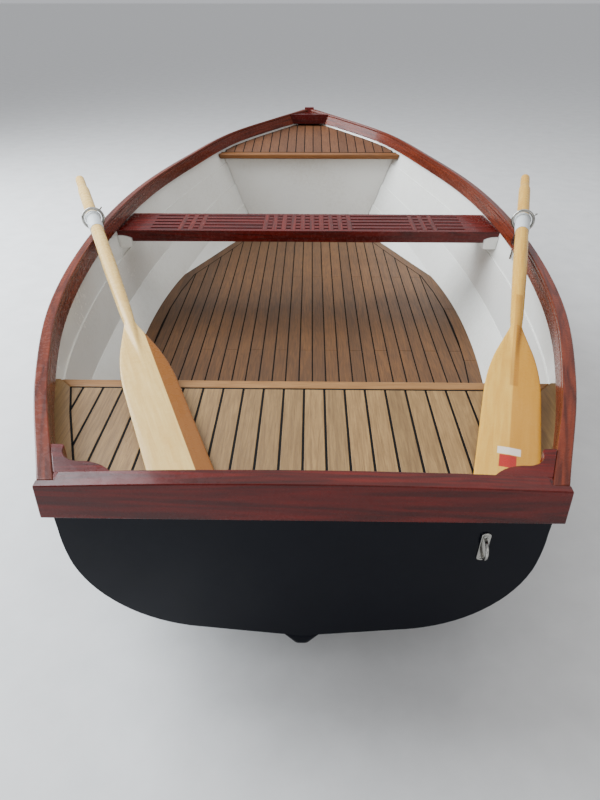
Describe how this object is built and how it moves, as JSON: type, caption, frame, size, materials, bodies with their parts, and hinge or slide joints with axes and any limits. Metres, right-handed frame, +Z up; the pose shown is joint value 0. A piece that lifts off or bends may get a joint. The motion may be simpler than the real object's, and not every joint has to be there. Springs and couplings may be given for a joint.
{
  "type": "rowing boat",
  "caption": "Clinker-moulded rowing dinghy with mahogany gunwales and slotted thwart, teak-laid stern seat, sole and foredeck, and oars stowed in ring rowlocks.",
  "frame": {"origin": "on the centreline, amidships between the transom's top edge and the stem's front, at the keel's flat underside that the boat stands on", "axes": "+X to starboard, +Y towards the bow, +Z up"},
  "size_m": [1.8626, 3.3867, 0.7],
  "materials": {
    "gelcoat_white": "glossy gelcoat",
    "gelcoat_dark": "polished gelcoat",
    "mahogany": "varnished",
    "teak": "bare, with black caulked seams",
    "oar_wood": "varnished",
    "sleeve_plastic": "satin",
    "stainless": "satin"
  },
  "bodies": {
    "hull": {"bilge_keel_port": "gelcoat_dark", "bilge_keel_starboard": "gelcoat_dark", "bow_bulkhead": "gelcoat_white", "breasthook": "mahogany", "deck_nosing": "teak", "deck_panel": "gelcoat_white", "deck_planks": "teak", "gunwale_port": "mahogany", "gunwale_starboard": "mahogany", "hull_shell": "gelcoat_white", "inwale_port": "mahogany", "inwale_starboard": "mahogany", "keel": "gelcoat_dark", "quarter_knee_port": "mahogany", "quarter_knee_starboard": "mahogany", "rowlock_socket_port": "stainless", "rowlock_socket_starboard": "stainless", "seat_locker_front": "gelcoat_white", "seat_margin_port": "teak", "seat_margin_starboard": "teak", "seat_nosing": "teak", "seat_panel": "gelcoat_white", "seat_planks": "teak", "sole_margins": "teak", "sole_panel": "gelcoat_white", "sole_planks": "teak", "stem": "gelcoat_dark", "thwart": "mahogany", "thwart_apron_aft": "mahogany", "thwart_apron_fore": "mahogany", "thwart_crossbars": "mahogany", "thwart_ledge_port": "gelcoat_white", "thwart_ledge_starboard": "gelcoat_white", "transom_board": "mahogany", "transom_eye": "stainless", "transom_panel": "gelcoat_dark"},
    "rowlock_starboard": {"rowlock_starboard": "stainless"},
    "rowlock_port": {"rowlock_port": "stainless"},
    "oar_starboard": {"oar_starboard": "oar_wood", "oar_sleeve_starboard": "sleeve_plastic"},
    "oar_port": {"oar_port": "oar_wood", "oar_sleeve_port": "sleeve_plastic"}
  },
  "joints": [
    {"name": "rowlock_swing_starboard", "type": "hinge", "parent": "hull", "child": "rowlock_starboard", "pos_m": [0.75296, -0.32, 0.55471], "axis": [-0.1312, 0, -0.9914], "range_deg": [0, 10]},
    {"name": "oar_lift_starboard", "type": "hinge", "parent": "rowlock_starboard", "child": "oar_starboard", "pos_m": [0.75614, -0.32, 0.5788], "axis": [-0.9588, 0.284, 0], "range_deg": [0, 2]},
    {"name": "rowlock_swing_port", "type": "hinge", "parent": "hull", "child": "rowlock_port", "pos_m": [-0.75296, -0.32, 0.55471], "axis": [-0.1312, 0, 0.9914], "range_deg": [0, 5]},
    {"name": "oar_lift_port", "type": "hinge", "parent": "rowlock_port", "child": "oar_port", "pos_m": [-0.75614, -0.32, 0.5788], "axis": [-0.9205, -0.3907, 0], "range_deg": [0, 8]}
  ]
}
